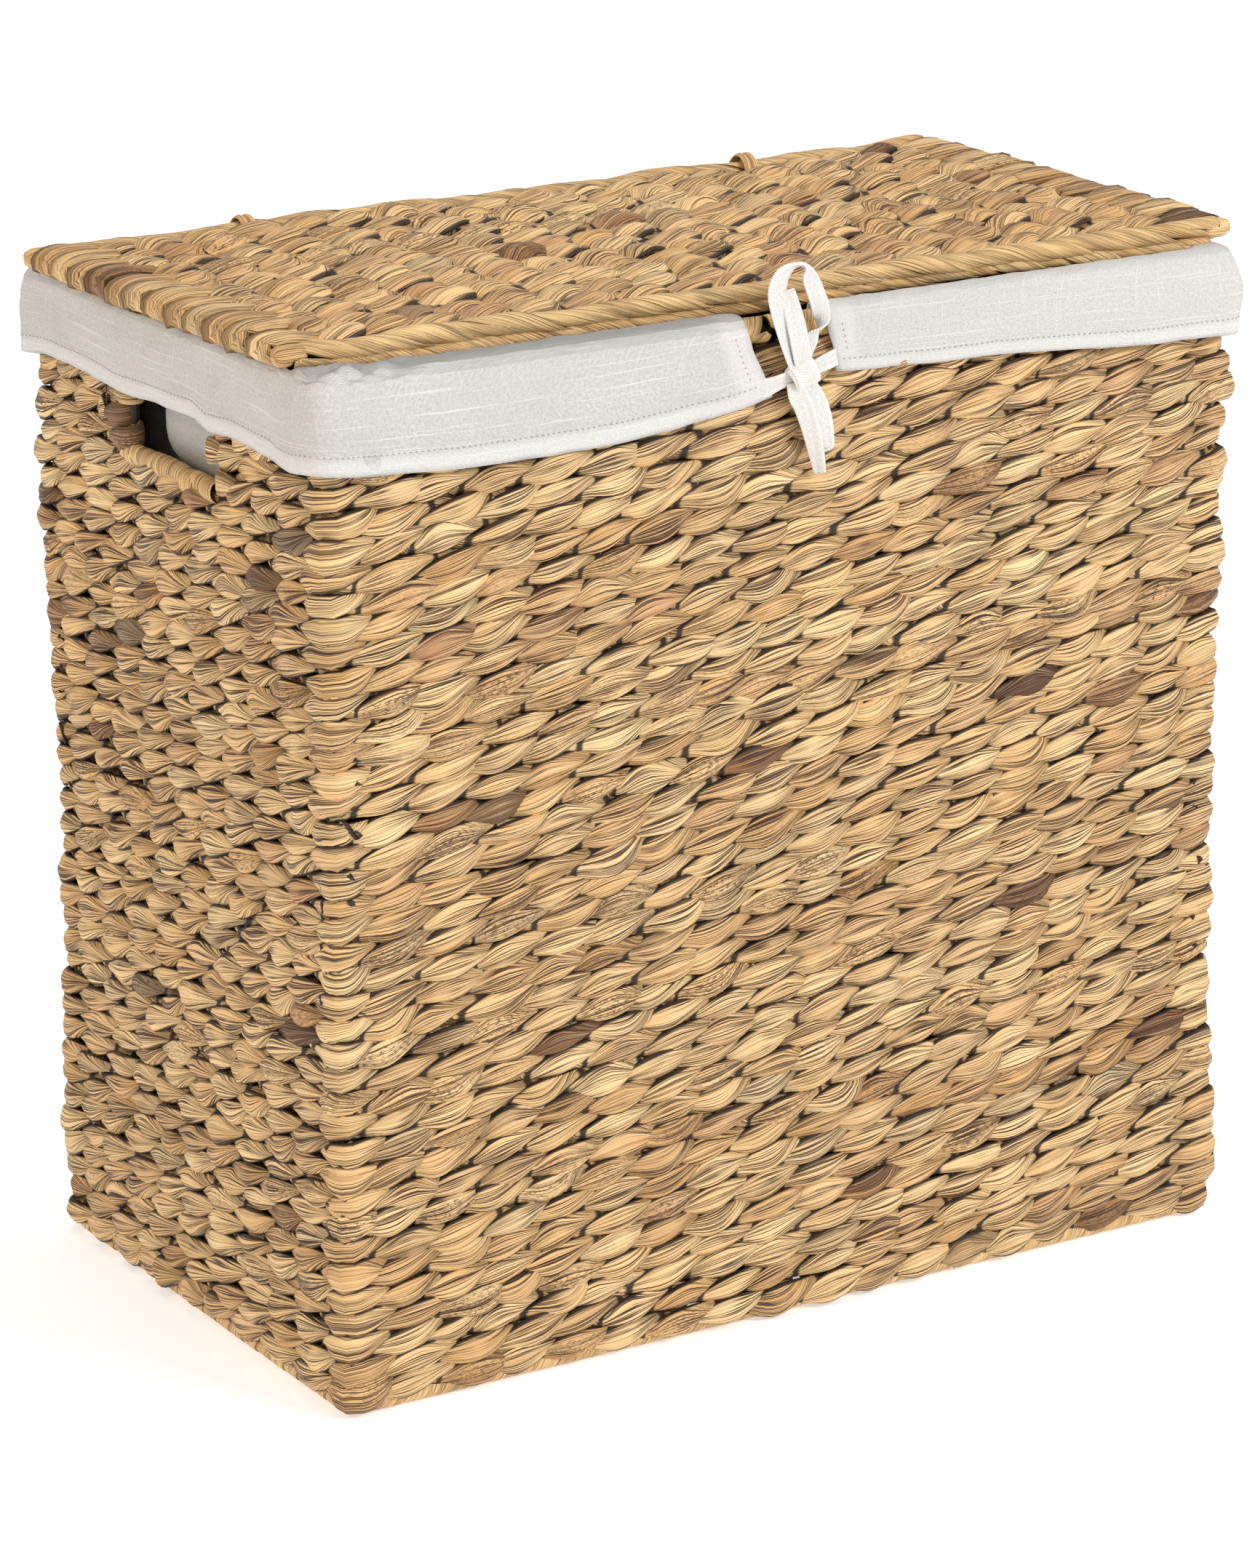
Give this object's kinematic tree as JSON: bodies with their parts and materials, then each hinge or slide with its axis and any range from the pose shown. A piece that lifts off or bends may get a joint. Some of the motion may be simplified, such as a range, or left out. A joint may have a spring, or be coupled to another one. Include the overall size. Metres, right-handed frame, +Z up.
{
  "type": "lidded laundry basket",
  "caption": "Rectangular twined basket on a wire frame with a hinged woven lid, handle cut-outs in its ends and a cotton liner folded over the rim and tied in a bow.",
  "frame": {"origin": "on the floor, below the middle of the basket", "axes": "+Z up, +X along the length, -Y towards the front, where the bow is"},
  "size_m": [0.571, 0.3427, 0.5798],
  "materials": {
    "water_hyacinth": "dry, fibrous, softly glossy strand",
    "hyacinth_border": "tightly wrapped strand, satin",
    "liner_cotton": "plain weave with slubs, matt",
    "cotton_tape": "folded and edge-stitched, matt",
    "frame_wire": "black lacquered wire"
  },
  "bodies": {
    "basket": {"front_weave": "water_hyacinth", "back_weave": "water_hyacinth", "left_weave": "water_hyacinth", "right_weave": "water_hyacinth", "base_weave": "water_hyacinth", "rim_wrap_front": "hyacinth_border", "rim_wrap_back": "hyacinth_border", "rim_wrap_left": "hyacinth_border", "rim_wrap_right": "hyacinth_border", "base_wrap_front": "hyacinth_border", "base_wrap_back": "hyacinth_border", "base_wrap_left": "hyacinth_border", "base_wrap_right": "hyacinth_border", "corner_post_front_left": "frame_wire", "corner_post_front_right": "frame_wire", "corner_post_back_left": "frame_wire", "corner_post_back_right": "frame_wire", "side_hoop_left": "frame_wire", "side_hoop_right": "frame_wire", "end_hoop_front": "frame_wire", "end_hoop_back": "frame_wire", "rim_wire": "frame_wire", "base_wire": "frame_wire", "handle_wrap_left": "hyacinth_border", "handle_wrap_right": "hyacinth_border", "handle_wire_left": "frame_wire", "handle_wire_right": "frame_wire", "liner_base": "liner_cotton", "liner_front": "liner_cotton", "liner_back": "liner_cotton", "liner_left": "liner_cotton", "liner_right": "liner_cotton", "cuff_front_left": "liner_cotton", "cuff_front_right": "liner_cotton", "cuff_back": "liner_cotton", "cuff_left": "liner_cotton", "cuff_right": "liner_cotton", "tie_left": "cotton_tape", "tie_right": "cotton_tape", "bow_knot": "cotton_tape", "bow_loop_upper": "cotton_tape", "bow_loop_lower": "cotton_tape", "bow_tail_upper": "cotton_tape", "bow_tail_lower": "cotton_tape", "hinge_loop_left": "hyacinth_border", "hinge_loop_right": "hyacinth_border"},
    "lid": {"lid_weave": "water_hyacinth", "lid_border_front": "hyacinth_border", "lid_border_back": "hyacinth_border", "lid_frame_wire": "frame_wire", "lid_cross_wire_1": "frame_wire", "lid_cross_wire_2": "frame_wire", "lid_cross_wire_3": "frame_wire"}
  },
  "joints": [
    {"name": "lid_hinge", "type": "hinge", "parent": "basket", "child": "lid", "pos_m": [0, 0.141, 0.5595], "axis": [-1, 0, 0], "range_deg": [0, 130]}
  ]
}
